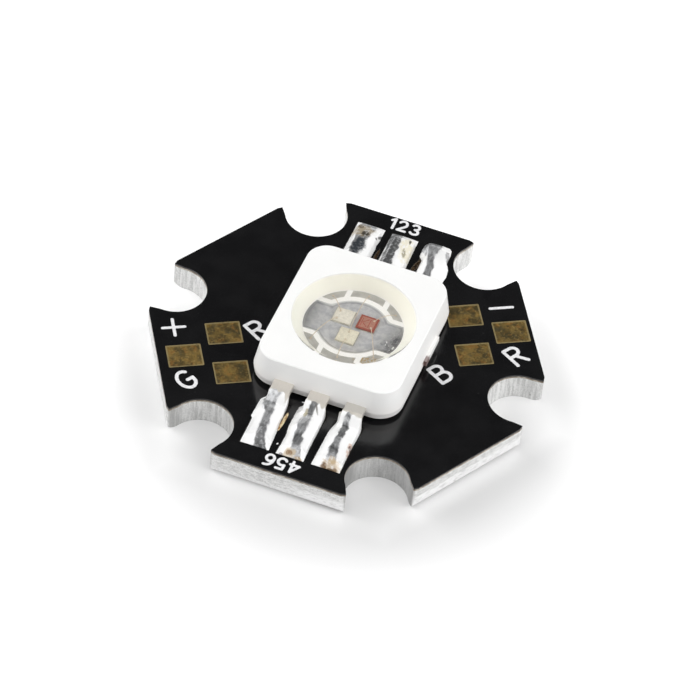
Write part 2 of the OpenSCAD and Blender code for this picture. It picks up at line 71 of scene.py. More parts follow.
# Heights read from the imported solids
MASK_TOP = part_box("solder_mask")[1].z / MM
HOUSING_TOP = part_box("housing")[1].z / MM
FLOOR_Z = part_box("heat_slug")[1].z / MM
RECESS_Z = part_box("die_attach_a")[0].z / MM
DIE_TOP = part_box("die_a")[1].z / MM
FILL_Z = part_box("encapsulant")[1].z / MM
MOUNTS = {m["name"]: m for m in frame["record"]["mounts"]}


def mount_place(name):
    """A mount's place in the plan."""
    return [v / MM for v in MOUNTS[name]["pos_m"][:2]]


def middle(low, high):
    """The middle of a box in the plan."""
    return (low.x + high.x) / 2 / MM, (low.y + high.y) / 2 / MM


def cos_sin(angle):
    """Cosine and sine of an angle in degrees."""
    return math.cos(math.radians(angle)), math.sin(math.radians(angle))


# ---- material graphs ----

class Nodes:
    """Adds nodes to a shader tree."""

    def __init__(self, tree):
        self.tree = tree

    def node(self, kind):
        return self.tree.nodes.new("ShaderNode" + kind)

    def put(self, socket, value):
        """Links a socket's output or sets a constant."""
        if isinstance(value, bpy.types.NodeSocket):
            self.tree.links.new(value, socket)
        elif isinstance(value, tuple) and len(value) == 3 and socket.type == "RGBA":
            socket.default_value = (*value, 1.0)
        else:
            socket.default_value = value

    def vector(self, operation, a, b=(0.0, 0.0, 0.0), scale=1.0):
        node = self.node("VectorMath")
        node.operation = operation
        self.put(node.inputs[0], a)
        if operation == "SCALE":
            node.inputs["Scale"].default_value = scale
        else:
            self.put(node.inputs[1], b)
        return node.outputs["Value" if operation == "DOT_PRODUCT" else "Vector"]

    def math(self, operation, a, b=0.0, c=0.0, clamp=False):
        node = self.node("Math")
        node.operation = operation
        node.use_clamp = clamp
        for socket, value in zip(node.inputs, (a, b, c)):
            self.put(socket, value)
        return node.outputs[0]

    def fold(self, operation, values):
        """One operation over a row of values."""
        return reduce(lambda a, b: self.math(operation, a, b), values)

    def plus(self, a, b):
        return self.math("ADD", a, b)

    def minus(self, a, b):
        return self.math("SUBTRACT", a, b)

    def times(self, *factors):
        return self.fold("MULTIPLY", factors)

    def distance(self, u, v):
        return self.math("SQRT", self.plus(self.times(u, u), self.times(v, v)))

    def uneven(self, value, grain, depth):
        """A value that a noise of 0 to 1 moves to both sides, over that depth in all."""
        return self.plus(value, self.times(self.minus(grain, 0.5), depth))

    def span(self, value, low, high, start=0.0, end=1.0):
        """Maps low..high smoothly to start..end."""
        node = self.node("MapRange")
        node.interpolation_type = "SMOOTHSTEP"
        for socket, v in zip(node.inputs[:5], (value, low, high, start, end)):
            self.put(socket, v)
        return node.outputs[0]

    def mix(self, share, a, b):
        """From colour a to colour b."""
        node = self.node("Mix")
        node.data_type = "RGBA"
        self.put(node.inputs["Factor"], share)
        self.put(node.inputs[6], a)
        self.put(node.inputs[7], b)
        return node.outputs[2]


class Graph(Nodes):
    """A node material that works in millimetres of the row frame."""

    def __init__(self, name):
        self.material = bpy.data.materials.new(name)
        self.material.use_nodes = True
        super().__init__(self.material.node_tree)
        self.shader = self.tree.nodes["Principled BSDF"]
        self.point = self.vector("SCALE", self.node("TexCoord").outputs["Object"], scale=1 / MM)
        split = self.node("SeparateXYZ")
        self.put(split.inputs[0], self.point)
        self.x, self.y, self.z = split.outputs

    def noise(self, scale, detail=3.0, rough=0.55, stretch=(1.0, 1.0, 1.0), shift=0.0):
        """A noise of that many waves per millimetre, around 0.5."""
        place = self.vector("MULTIPLY", self.point, stretch)
        place = self.vector("ADD", place, (shift, shift * 0.7, shift * 1.3))
        node = self.node("TexNoise")
        for socket, value in (("Vector", place), ("Scale", scale), ("Detail", detail), ("Roughness", rough)):
            self.put(node.inputs[socket], value)
        return node.outputs["Fac"]

    def field(self, name):
        """The numbers that a mesh carries at its points under that name."""
        node = self.node("Attribute")
        node.attribute_name = name
        return node.outputs["Fac"]

    def local(self, centre, turn=0.0):
        """Coordinates along and across a direction, from a centre in the plan."""
        dx = self.minus(self.x, centre[0])
        dy = self.minus(self.y, centre[1])
        c, s = cos_sin(turn)
        u = self.plus(self.times(dx, c), self.times(dy, s))
        v = self.minus(self.times(dy, c), self.times(dx, s))
        return u, v

    def spot(self, centre, size, turn=0.0, soft=0.5, wobble=0.5, jitter=None):
        """1 inside an uneven ellipse in the plan, falling to 0 outside it."""
        if jitter is None:
            jitter = self.noise(4.0)
        u, v = (self.math("DIVIDE", w, half) for w, half in zip(self.local(centre, turn), size))
        r = self.uneven(self.distance(u, v), jitter, 2 * wobble)
        return self.span(r, 1 - soft, 1 + soft, 1.0, 0.0)

    def out_of(self, centre, size, turn, soft):
        """Distance out of a rectangle in the plan, below zero inside it."""
        u, v = (self.minus(self.math("ABSOLUTE", w), side / 2)
                for w, side in zip(self.local(centre, turn), size))
        return self.math("SMOOTH_MAX", u, v, soft)

    def bump(self, height, depth, below=None):
        """A relief of that depth in millimetres, on another one if given."""
        node = self.node("Bump")
        node.inputs["Strength"].default_value = 1.0
        node.inputs["Distance"].default_value = depth * MM
        self.put(node.inputs["Height"], height)
        if below is not None:
            self.put(node.inputs["Normal"], below)
        return node.outputs["Normal"]

    def finish(self, color, rough, metal=0.0, normal=None, **constants):
        """Fills the shader's sockets; a constant's name has _ for each space."""
        self.put(self.shader.inputs["Base Color"], color)
        self.put(self.shader.inputs["Roughness"], rough)
        self.put(self.shader.inputs["Metallic"], metal)
        if normal is not None:
            self.put(self.shader.inputs["Normal"], normal)
        for key, value in constants.items():
            self.shader.inputs[key.replace("_", " ")].default_value = value
        return self.material


def rgb(r, g, b):
    """A display colour of 0 to 255 as the linear colour that the shaders take."""
    return tuple(c / 255 / 12.92 if c <= 10 else ((c / 255 + 0.055) / 1.055) ** 2.4 for c in (r, g, b))


def mask_material():
    """Glossy black with a little dust. Its thin lip round each wire pad lets the metal shine through."""
    g = Graph("mask_black")
    cloud = g.span(g.noise(0.6, 2), 0.35, 0.65)
    color = g.mix(cloud, (0.0056, 0.0056, 0.0062), (0.0082, 0.0082, 0.0088))
    dust = g.span(g.noise(9, 2, shift=7.0), 0.745, 0.80)
    color = g.mix(dust, color, (0.045, 0.045, 0.045))
    rough = g.span(g.noise(1.3, 4, shift=3.0), 0.3, 0.7, 0.13, 0.21)
    out = g.fold("MINIMUM", [g.out_of(mount_place(f"wire_pad_{k}"), WIRE_PAD, WIRE_PAD_TURN, WIRE_PAD_ROUND)
                             for k in range(1, 7)])
    chip = g.noise(5.0, 3, shift=11.0)
    out = g.uneven(out, chip, 0.03)
    lip = g.times(g.span(out, 0.066, 0.042), g.span(chip, 0.30, 0.55, 0.55, 0.95))
    color = g.mix(lip, color, rgb(150, 134, 92))
    rough = g.plus(rough, g.times(lip, 0.3))
    normal = g.bump(g.noise(7, 3), 0.0012)
    return g.finish(color, rough, normal=normal, IOR=1.58)


def aluminium_material():
    """Sheared flats with a grain along the edge, and notches cut with upright marks."""
    g = Graph("aluminium_edge")
    notches = [mount_place(f"screw_notch_{k}") for k in range(1, 7)]
    near = g.fold("MINIMUM", [g.distance(g.minus(g.x, x), g.minus(g.y, y)) for x, y in notches])
    notch = g.span(near, 1.80, 2.05, 1.0, 0.0)
    upright = g.noise(6.0, 4, 0.65, stretch=(1.0, 1.0, 0.10))
    along = g.noise(5.0, 5, 0.68, stretch=(0.55, 0.55, 1.6), shift=5.0)
    fine = g.noise(14, 3, 0.6, shift=9.0)
    streak = g.plus(g.times(notch, g.minus(upright, along)), along)
    share = g.plus(g.times(streak, 0.6), g.times(fine, 0.4))
    color = g.mix(g.span(share, 0.38, 0.60), rgb(202, 202, 201), rgb(243, 243, 242))
    # Painted shade darkens the front notches, and a painted highlight brightens the flats' lower half where
    # the edge rolls under
    front = g.times(notch, g.span(g.y, -7.0, -8.5, 0.0, 0.75))
    color = g.mix(front, color, rgb(138, 138, 137))
    rolled_edge_highlight = g.times(g.span(g.z, 0.62, 0.34), g.span(fine, 0.36, 0.52, 0.55, 1.0))
    rolled_edge_highlight = g.times(rolled_edge_highlight, g.minus(0.80, g.times(notch, 0.80)))
    color = g.mix(rolled_edge_highlight, color, rgb(252, 252, 252))
    # Right front: painted shade greys the notches, and on the flats a ragged painted highlight band lies over
    # a painted shadow line at the foot
    right = g.span(g.minus(g.x, g.y), 9.5, 12.0)
    color = g.mix(g.times(right, notch, 0.52), color, rgb(150, 150, 150))
    flank = g.minus(right, g.times(right, notch))
    ragged = g.uneven(g.z, fine, 0.5)
    band = g.times(g.span(ragged, 1.02, 0.78), g.span(along, 0.38, 0.56, 0.45, 1.0))
    color = g.mix(g.times(flank, band), color, rgb(255, 255, 255))
    color = g.mix(g.times(flank, g.span(ragged, 0.34, 0.04, 0.0, 0.7)), color, rgb(128, 128, 127))
    # Painted shade darkens the bottom edge all round, and small pits are dark
    color = g.mix(g.span(g.z, 0.06, 0.0, 0.0, 0.35), color, rgb(120, 120, 120))
    pit = g.span(g.noise(7.0, 3, 0.6, shift=2.0), 0.34, 0.28)
    color = g.mix(g.times(pit, 0.5), color, rgb(110, 108, 104))
    rough = g.span(fine, 0.3, 0.7, 0.42, 0.56)
    return g.finish(color, rough, 0.5, g.bump(share, 0.03))


def resin_material():
    """The pale brown line between the aluminium and the mask."""
    g = Graph("resin_edge")
    color = g.mix(g.span(g.noise(3, 3), 0.35, 0.65), rgb(128, 114, 98), rgb(190, 181, 168))
    return g.finish(color, 0.6, normal=g.bump(g.noise(14, 2), 0.01))


def copper_material(index):
    """Tarnished metal on an open wire pad, and a blackened rim where it runs on to the lead's pad."""
    g = Graph(f"copper_{index}")
    fleck = g.noise(8.5, 4, 0.62, shift=index * 1.7)
    out = g.out_of(mount_place(f"wire_pad_{index}"), WIRE_PAD, WIRE_PAD_TURN, WIRE_PAD_ROUND)
    out = g.uneven(out, fleck, 0.05)
    blotch = g.noise(1.5, 4, 0.6, shift=index * 3.1)
    tarnish = g.noise(2.6, 4, 0.6, shift=index * 5.3)
    color = g.mix(g.span(blotch, 0.38, 0.62), rgb(76, 66, 38), rgb(136, 112, 60))
    color = g.mix(g.span(tarnish, 0.52, 0.66, 0.0, 0.65), color, rgb(150, 108, 54))
    color = g.mix(g.span(tarnish, 0.46, 0.34, 0.0, 0.6), color, rgb(84, 80, 60))
    color = g.mix(g.span(fleck, 0.54, 0.66, 0.0, 0.6), color, rgb(164, 138, 84))
    color = g.mix(g.span(fleck, 0.44, 0.34, 0.0, 0.5), color, rgb(58, 46, 24))
    color = g.mix(g.span(out, -0.045, -0.015, 0.0, 0.8), color, rgb(160, 142, 98))
    lead_pad = g.times(g.span(g.math("ABSOLUTE", g.y), 4.9, 5.1),
                       g.span(g.math("ABSOLUTE", g.x), 4.0, 3.8))
    color = g.mix(lead_pad, color, (0.010, 0.009, 0.008))
    rough = g.span(fleck, 0.35, 0.65, 0.36, 0.54)
    metal = g.times(g.minus(1.0, lead_pad), 0.3)
    return g.finish(color, rough, metal, g.bump(fleck, 0.010))


# Oxide, flux and stains on the solder, and grey and dark patches of painted reflection: place, half-sizes,
# turn, colour, share, graininess
SOLDER_STAINS_AND_REFLECTIONS = [
    ((-1.30, -5.33), (0.10, 0.42), 4, (200, 194, 184), 0.9, 0.2),
    ((-1.66, -5.27), (0.15, 0.045), -10, (112, 108, 102), 0.8, 0.3),
    ((0.42, -5.60), (0.05, 0.22), 35, (96, 92, 86), 0.8, 0.4),
    ((0.22, -5.40), (0.20, 0.06), -12, (128, 128, 128), 0.8, 0.4),
    ((-0.04, -5.98), (0.10, 0.24), 0, (164, 154, 118), 0.8, 0.3),
    ((0.06, -8.60), (0.34, 0.27), 0, (208, 190, 160), 0.8, 0.3),
    ((0.06, -8.56), (0.16, 0.12), 0, (138, 104, 66), 0.85, 0.5),
    ((-0.32, -8.72), (0.10, 0.08), 0, (120, 108, 116), 0.8, 0.8),
    ((0.62, -8.72), (0.20, 0.09), -15, (178, 152, 112), 0.8, 0.6),
    ((2.35, -8.62), (0.50, 0.40), 0, (206, 186, 158), 0.8, 0.6),
    ((2.00, -8.66), (0.17, 0.12), -30, (112, 82, 48), 0.9, 0.6),
    ((2.36, -8.76), (0.22, 0.10), 10, (98, 74, 46), 0.9, 0.6),
    ((2.60, -8.70), (0.14, 0.10), 0, (120, 92, 62), 0.8, 0.6),
    ((2.30, -8.30), (0.22, 0.20), 0, (196, 172, 134), 0.75, 0.7),
    ((2.86, -7.25), (0.13, 0.42), 4, (206, 176, 158), 0.8, 0.8),
    ((2.84, -7.15), (0.07, 0.14), 0, (92, 66, 58), 0.85, 0.5),
    ((2.92, -7.42), (0.05, 0.10), 0, (104, 78, 66), 0.85, 0.5),
    ((-2.00, 7.95), (0.56, 0.54), 0, (172, 156, 128), 0.9, 0.7),
    ((-1.78, 7.72), (0.20, 0.20), 20, (44, 42, 38), 0.9, 0.9),
    ((-2.20, 8.20), (0.18, 0.14), 0, (96, 84, 66), 0.8, 0.9),
    ((-1.85, 6.66), (0.36, 0.62), -6, (36, 44, 52), 0.95, 0.35),
    ((-1.02, 8.10), (0.05, 0.26), -22, (60, 60, 58), 0.85, 0.5),
    ((-1.16, 7.72), (0.05, 0.07), 0, (60, 58, 54), 0.85, 0.4),
    ((0.62, 7.55), (0.36, 0.95), 8, (236, 228, 200), 0.75, 0.9),
    ((0.60, 7.15), (0.10, 0.34), 12, (120, 112, 84), 0.7, 1.0),
    ((0.62, 8.20), (0.06, 0.22), 10, (40, 38, 34), 0.9, 0.5),
    ((2.78, 8.10), (0.10, 0.36), 14, (150, 150, 152), 0.8, 0.3),
]


def solder_material():
    """White skin, barely metallic so that its white is painted reflection of the bright room, with a darker
    metal streak along each joint, whose place the mesh gives and whose tones are partly painted reflection.
    """
    g = Graph("solder")
    streak, bare = g.field("streak"), g.field("bare")
    grain = g.noise(5.5, 4, 0.62, shift=4.0)
    jitter = g.noise(3.6, 4, 0.62, shift=1.0)
    # The near-white skin is painted reflection of the bright room on the flanks
    skin = g.mix(g.span(g.noise(1.6, 3, 0.55), 0.3, 0.7), (0.95, 0.95, 0.945), (0.98, 0.98, 0.975))
    soft = g.span(g.noise(3.2, 4, 0.6, stretch=(1.6, 0.5, 1.0), shift=2.0), 0.3, 0.7, 0.55, 1.55)
    hard = g.span(grain, 0.48, 0.62, 0.62, 2.1)
    mottle = g.plus(soft, g.times(g.field("speckle"), g.minus(hard, soft)))
    # The streak's tones along the joint are partly painted reflection
    tone = g.math("MULTIPLY", g.field("tone"), mottle, clamp=True)
    color = g.mix(streak, skin, g.mix(tone, (0.0, 0.0, 0.0), (0.975, 0.985, 1.0)))
    plating = g.mix(grain, rgb(188, 183, 173), rgb(210, 205, 196))
    color = g.mix(bare, color, plating)
    dull = bare
    # Stains, and grey and dark patches of painted reflection
    for centre, size, turn, shade, share, grains in SOLDER_STAINS_AND_REFLECTIONS:
        place = g.spot(centre, size, turn, soft=0.30, wobble=0.75, jitter=jitter)
        speckle = g.span(grain, 0.52, 0.62, share, share * (1 - 0.85 * grains))
        place = g.times(place, speckle)
        color = g.mix(place, color, rgb(*shade))
        dull = g.math("MAXIMUM", dull, place)
    rough = g.plus(g.span(grain, 0.3, 0.7, 0.30, 0.36), g.times(dull, 0.12))
    metal = g.plus(0.10, g.times(streak, 0.72))
    metal = g.times(metal, g.minus(1.0, g.times(dull, 0.7)))
    normal = g.bump(g.times(dull, grain), 0.015)
    return g.finish(color, rough, metal, g.bump(grain, 0.0008, below=normal))


def plating_material():
    """The leads: dull tips in the cup, one of them smeared brown, and paler shelves outside the housing."""
    g = Graph("lead_plating")
    shelf = g.span(g.math("ABSOLUTE", g.minus(g.y, LED[1])), 4.2, 4.6)
    grain = g.noise(9, 3, 0.6, stretch=(1.0, 0.35, 1.0))
    color = g.mix(g.span(g.noise(2, 3), 0.3, 0.7), rgb(186, 184, 179), rgb(204, 202, 197))
    color = g.mix(shelf, color, g.mix(grain, rgb(203, 197, 188), rgb(216, 211, 203)))
    # The right one of the front shelves is greyer
    grey = g.times(g.span(g.x, 1.2, 1.5), g.span(g.y, -4.0, -4.3))
    color = g.mix(g.times(grey, 0.6), color, rgb(186, 184, 178))
    jitter = g.noise(5.0, 4, shift=6.0)
    smear = g.spot((1.75, -1.92), (0.60, 0.20), 20, jitter=jitter)
    smear = g.times(smear, g.span(g.noise(7, 4, shift=6.0), 0.40, 0.60))
    color = g.mix(g.times(smear, 0.8), color, rgb(184, 152, 92))
    return g.finish(color, g.span(grain, 0.3, 0.7, 0.34, 0.48), 0.35, g.bump(grain, 0.006))


def slug_material():
    """Grey plating with painted shade to both sides and on the slope round the recess, and a crumpled spot
    with painted shade in its creases and a painted glint.
    """
    g = Graph("slug_plating")
    grain = g.noise(3.0, 5, 0.6)
    color = g.mix(g.span(grain, 0.3, 0.7), rgb(184, 185, 190), rgb(210, 210, 211))
    rim = g.span(g.z, RECESS_Z + 0.075, RECESS_Z + 0.097)
    color = g.mix(rim, color, rgb(212, 213, 212))
    # Painted shade on the slope round the recess
    slope = g.times(g.span(g.z, RECESS_Z + 0.004, RECESS_Z + 0.02),
                    g.span(g.z, RECESS_Z + 0.06, RECESS_Z + 0.09, 1.0, 0.0))
    color = g.mix(g.times(slope, 0.35), color, rgb(110, 112, 118))
    # Painted shade darkens both sides, and the front part is lighter and warmer
    right = g.minus(g.x, g.times(g.y, 0.35))
    color = g.mix(g.span(right, LED[0] + 1.1, LED[0] + 2.8, 0.0, 0.75), color, rgb(120, 119, 118))
    color = g.mix(g.span(g.x, LED[0] - 1.7, LED[0] - 2.75, 0.0, 0.7), color, rgb(112, 112, 114))
    color = g.mix(g.span(g.y, LED[1] - 0.9, LED[1] - 2.2, 0.0, 0.5), color, rgb(212, 206, 196))
    # A crumpled spot: bumps with painted shade in their creases and a painted glint
    jitter = g.noise(2.2, 4, 0.6, shift=8.0)
    crush = g.spot((LED[0] + 2.36, LED[1] - 0.34), (0.48, 0.80), -10, soft=0.5, wobble=0.7, jitter=jitter)
    crumple = g.noise(2.3, 4, 0.65, stretch=(1.9, 0.6, 1.0), shift=8.0)
    color = g.mix(g.times(crush, g.span(crumple, 0.36, 0.60, 0.85, 0.2)), color, rgb(74, 74, 80))
    painted_glint = g.times(crush, g.span(crumple, 0.645, 0.665))
    color = g.mix(painted_glint, color, (0.98, 0.98, 0.98))
    rough = g.minus(g.span(grain, 0.3, 0.7, 0.32, 0.44), g.times(crush, 0.10))
    normal = g.bump(g.times(crush, crumple), 0.10)
    return g.finish(color, rough, 0.3, g.bump(grain, 0.006, below=normal))


def housing_material():
    """White plastic, creamy inside the cup and warmer towards its foot, with the stained gate mark."""
    g = Graph("housing_white")
    u, v = g.local(LED)
    radius = g.distance(u, v)
    cloud = g.noise(0.5, 2)
    white = g.mix(g.span(cloud, 0.3, 0.7), (0.925, 0.925, 0.915), (0.945, 0.945, 0.935))
    cream = g.mix(g.span(v, -1.0, 3.2), rgb(255, 255, 246), rgb(255, 253, 242))
    inside = g.times(g.span(radius, CUP_RIM_R + 0.02, CUP_RIM_R - 0.02),
                     g.span(g.z, FLOOR_Z + 0.01, FLOOR_Z + 0.05),
                     g.span(g.z, HOUSING_TOP - 0.02, HOUSING_TOP - 0.12))
    color = g.mix(inside, white, cream)
    color = g.mix(g.span(g.z, 3.0, 2.2, 0.0, 0.5), color, (0.935, 0.905, 0.88))
    gate = g.times(g.spot((4.48, -0.10), (0.34, 0.34), soft=0.4, wobble=0.7),
                   g.span(g.z, 2.47, 2.36),
                   g.span(g.noise(5, 4, shift=3.0), 0.30, 0.38))
    color = g.mix(g.times(gate, 0.9), color, rgb(104, 66, 62))
    rough = g.span(g.noise(6, 3, shift=2.0), 0.3, 0.7, 0.34, 0.44)
    return g.finish(color, rough, normal=g.bump(g.noise(10, 3), 0.002))


def chip_material(name, base, edge, border):
    """A chip whose top shows its own border and a slightly uneven face."""
    g = Graph("chip_" + name)
    low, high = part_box("die_" + name)
    side = (high.x - low.x) / MM
    out = g.out_of(middle(low, high), (side, side), 0.0, 0.01)
    grain = g.noise(7, 4)
    color = g.mix(g.span(grain, 0.35, 0.65), base, tuple(c * 0.86 for c in base))
    color = g.mix(g.span(out, -border - 0.02, -border), color, edge)
    return g.finish(color, g.span(grain, 0.3, 0.7, 0.3, 0.45), 0.0, g.bump(grain, 0.004))


def plain_material(name, low, high, rough, metal=0.0, scale=4.0, depth=0.004):
    """A fine grain between two colours."""
    g = Graph(name)
    grain = g.noise(scale, 3)
    color = g.mix(g.span(grain, 0.35, 0.65), low, high)
    return g.finish(color, g.span(grain, 0.3, 0.7, rough * 0.85, rough * 1.15), metal, g.bump(grain, depth))


def silicone_material():
    """Clear silicone that casts no shadow, so that light reaches what lies in it."""
    g = Graph("clear_silicone")
    haze = g.noise(1.6, 3)
    color = g.mix(g.span(haze, 0.3, 0.7), (1.0, 1.0, 0.995), (1.0, 0.998, 0.984))
    g.finish(color, g.span(haze, 0.3, 0.7, 0.02, 0.05), normal=g.bump(haze, 0.004),
             Transmission_Weight=1.0, IOR=1.41)
    clear, mixer = g.node("BsdfTransparent"), g.node("MixShader")
    g.put(clear.inputs["Color"], (1.0, 0.998, 0.98))
    shaders = (g.node("LightPath").outputs["Is Shadow Ray"], g.shader.outputs[0], clear.outputs[0])
    for socket, value in zip(mixer.inputs, shaders):
        g.put(socket, value)
    g.put(g.tree.nodes["Material Output"].inputs["Surface"], mixer.outputs[0])
    return g.material


# ---- pieces ----

def piece(name, points, faces, material, slot, stands_for=(), smooth=True, fields=None):
    """A closed mesh in millimetres that rides on the root body, with numbers at its points if wanted."""
    mesh = bpy.data.meshes.new(name)
    mesh.from_pydata([tuple(c * MM for c in p) for p in points], [], faces)
    bm = bmesh.new()
    bm.from_mesh(mesh)
    bmesh.ops.recalc_face_normals(bm, faces=bm.faces)
    bm.to_mesh(mesh)
    bm.free()
    mesh.polygons.foreach_set("use_smooth", [smooth] * len(mesh.polygons))
    for field, values in (fields or {}).items():
        mesh.attributes.new(field, "FLOAT", "POINT").data.foreach_set("value", values)
    mesh.materials.append(material)
    obj = bpy.data.objects.new(name, mesh)
    bpy.context.scene.collection.objects.link(obj)
    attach(obj, "root")
    if stands_for:
        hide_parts(*stands_for)
    return obj


def sheet_solid(top, bottom):
    """Points and faces of a closed solid between two grids of the same size."""
    rows, columns = top.shape[:2]
    points = [tuple(p) for p in top.reshape(-1, 3)] + [tuple(p) for p in bottom.reshape(-1, 3)]
    half = rows * columns
    faces = []
    for i in range(rows - 1):
        for j in range(columns - 1):
            a, b = i * columns + j, i * columns + j + 1
            c, d = a + columns + 1, a + columns
            faces.append((a, b, c, d))
            faces.append((half + d, half + c, half + b, half + a))
    rim = ([(0, j) for j in range(columns)] + [(i, columns - 1) for i in range(1, rows)]
           + [(rows - 1, j) for j in range(columns - 2, -1, -1)] + [(i, 0) for i in range(rows - 2, 0, -1)])
    ring = [i * columns + j for i, j in rim]
    for k, a in enumerate(ring):
        b = ring[(k + 1) % len(ring)]
        faces.append((b, a, half + a, half + b))
    return points, faces


def ringed_solid(rings, first, last):
    """Points and faces of a closed solid of rings with as many points each, and a tip at both ends."""
    sides = len(rings[0])
    points = [p for ring in rings for p in ring] + [first, last]
    final = (len(rings) - 1) * sides
    faces = []
    for k in range(sides):
        n = (k + 1) % sides
        faces += [(i + k, i + n, i + sides + n, i + sides + k) for i in range(0, final, sides)]
        faces += [(n, k, len(points) - 2), (final + k, final + n, len(points) - 1)]
    return points, faces


def rough_at(x, y, seed, scales):
    """A sum of smooth noises at a place, each given as (waves per millimetre, height)."""
    return sum(h * noise.noise(Vector((x * f + seed * 7.3, y * f - seed * 3.1, seed))) for f, h in scales)


def read(table, v, column=1):
    """A column of a table at v, its first column, with straight lines between the rows."""
    return float(np.interp(v, [row[0] for row in table], [row[column] for row in table]))


def ease(t):
    """0 to 1 with a smooth start and end."""
    t = min(1, max(0, t))
    return t * t * (3 - 2 * t)


# Height of a lead's upper face by the distance from the LED's middle
LEAD_FACE = [(5.24, 2.47), (5.33, 2.461), (5.42, 2.435), (5.50, 2.392), (5.593, 2.313), (5.942, 1.924),
             (6.02, 1.872), (6.11, 1.85)]

# Each joint: its place in lead pitches, its row, where it starts and how far it runs over the pad's end,
# and its crest. Then, by distance v from the pad's start: half-widths left and right, the edges of the
# flat top, and those of the dark streak where it doesn't fill that top
JOINTS = {
    1: dict(x=-1, row=-1, start=-0.04, over=-0.02, crest=0.50,
            left=[(-0.04, 0.40), (0.0, 0.42), (0.05, 0.76), (0.2, 0.82), (1.45, 0.84), (1.60, 0.73),
                  (3.38, 0.70)],
            right=[(-0.04, 0.65), (0.0, 0.66), (0.05, 0.68), (1.5, 0.72), (2.1, 0.80), (3.38, 0.87)],
            flat=[(-0.1, -0.28, 0.36), (0.1, -0.46, 0.30), (0.34, -0.55, 0.20), (0.84, -0.43, 0.20),
                  (1.34, -0.18, 0.22), (1.84, -0.10, 0.27), (2.84, -0.08, 0.46), (3.38, 0.05, 0.74)]),
    2: dict(x=0, row=-1, start=-0.06, over=-0.02, crest=0.51,
            left=[(-0.06, 0.40), (-0.02, 0.42), (0.03, 0.76), (0.15, 0.80), (1.4, 0.80), (1.9, 0.71),
                  (2.6, 0.71), (3.38, 0.74)],
            right=[(-0.06, 0.65), (-0.02, 0.66), (0.04, 0.73), (2.4, 0.74), (3.38, 0.77)],
            flat=[(-0.1, -0.12, 0.40), (0.34, -0.12, 0.34), (1.0, -0.24, 0.34), (1.5, -0.30, 0.34),
                  (2.1, -0.16, 0.30), (2.84, -0.10, 0.44), (3.38, -0.05, 0.70)],
            band=[(-0.1, -0.05, 0.30), (0.1, -0.05, 0.28), (0.5, -0.14, 0.20), (0.9, -0.30, 0.24),
                  (1.5, -0.34, 0.22), (2.1, -0.20, 0.22), (2.84, -0.10, 0.40), (3.38, -0.05, 0.62)]),
    3: dict(x=1, row=-1, start=-0.17, over=-0.04, crest=0.50,
            left=[(-0.17, 0.41), (-0.05, 0.60), (0.4, 0.70), (0.9, 0.79), (3.38, 0.82)],
            right=[(-0.17, 0.62), (-0.05, 0.65), (0.14, 0.74), (0.6, 0.76), (1.4, 0.72), (3.38, 0.74)],
            flat=[(-0.2, -0.08, 0.16), (0.34, -0.18, 0.13), (1.34, -0.23, 0.13), (2.34, -0.24, 0.20),
                  (2.84, -0.24, 0.34), (3.38, -0.30, 0.50)]),
    4: dict(x=1, row=1, start=-0.10, over=0.04, crest=0.56,
            left=[(-0.1, 0.41), (0.3, 0.56), (1.9, 0.58), (2.24, 0.80), (2.9, 0.83), (3.2, 0.77),
                  (3.38, 0.64), (3.44, 0.54)],
            right=[(-0.1, 0.66), (0.35, 0.82), (0.8, 1.00), (1.3, 1.05), (1.8, 0.98), (2.1, 0.86),
                   (2.25, 0.74), (3.0, 0.72), (3.3, 0.66), (3.44, 0.52)],
            flat=[(-0.1, -0.1, 0.32), (0.5, -0.05, 0.32), (1.3, -0.12, 0.32), (1.8, -0.26, 0.12),
                  (2.3, -0.40, 0.08), (3.0, -0.55, 0.12), (3.44, -0.35, 0.25)],
            band=[(-0.1, -0.1, 0.32), (0.5, -0.05, 0.32), (1.3, -0.12, 0.32), (1.8, -0.26, 0.12),
                  (2.3, -0.55, 0.08), (2.6, -0.95, 0.06), (3.44, -0.95, 0.14)]),
    5: dict(x=0, row=1, start=-0.10, over=-0.14, crest=0.51,
            left=[(-0.1, 0.41), (0.05, 0.70), (0.3, 0.73), (3.38, 0.72)],
            right=[(-0.1, 0.66), (0.1, 0.80), (1.0, 0.83), (2.7, 0.78), (3.38, 0.77)],
            flat=[(-0.1, -0.2, 0.30), (0.5, -0.36, 0.24), (1.8, -0.38, 0.22), (2.9, -0.44, 0.30),
                  (3.38, -0.50, 0.50)],
            band=[(-0.1, -0.52, 0.12), (1.5, -0.58, 0.06), (2.6, -0.72, 0.0), (3.38, -0.90, -0.10)]),
    6: dict(x=-1, row=1, start=-0.10, over=-0.08, crest=0.50,
            left=[(-0.1, 0.41), (0.05, 0.68), (0.3, 0.72), (3.38, 0.72)],
            right=[(-0.1, 0.66), (0.1, 0.80), (1.7, 0.85), (2.0, 0.80), (2.3, 0.85), (3.38, 0.85)],
            flat=[(-0.1, -0.25, 0.25), (0.6, -0.34, 0.22), (1.6, -0.36, 0.24), (2.2, -0.44, 0.38),
                  (3.38, -0.50, 0.42)]),
}

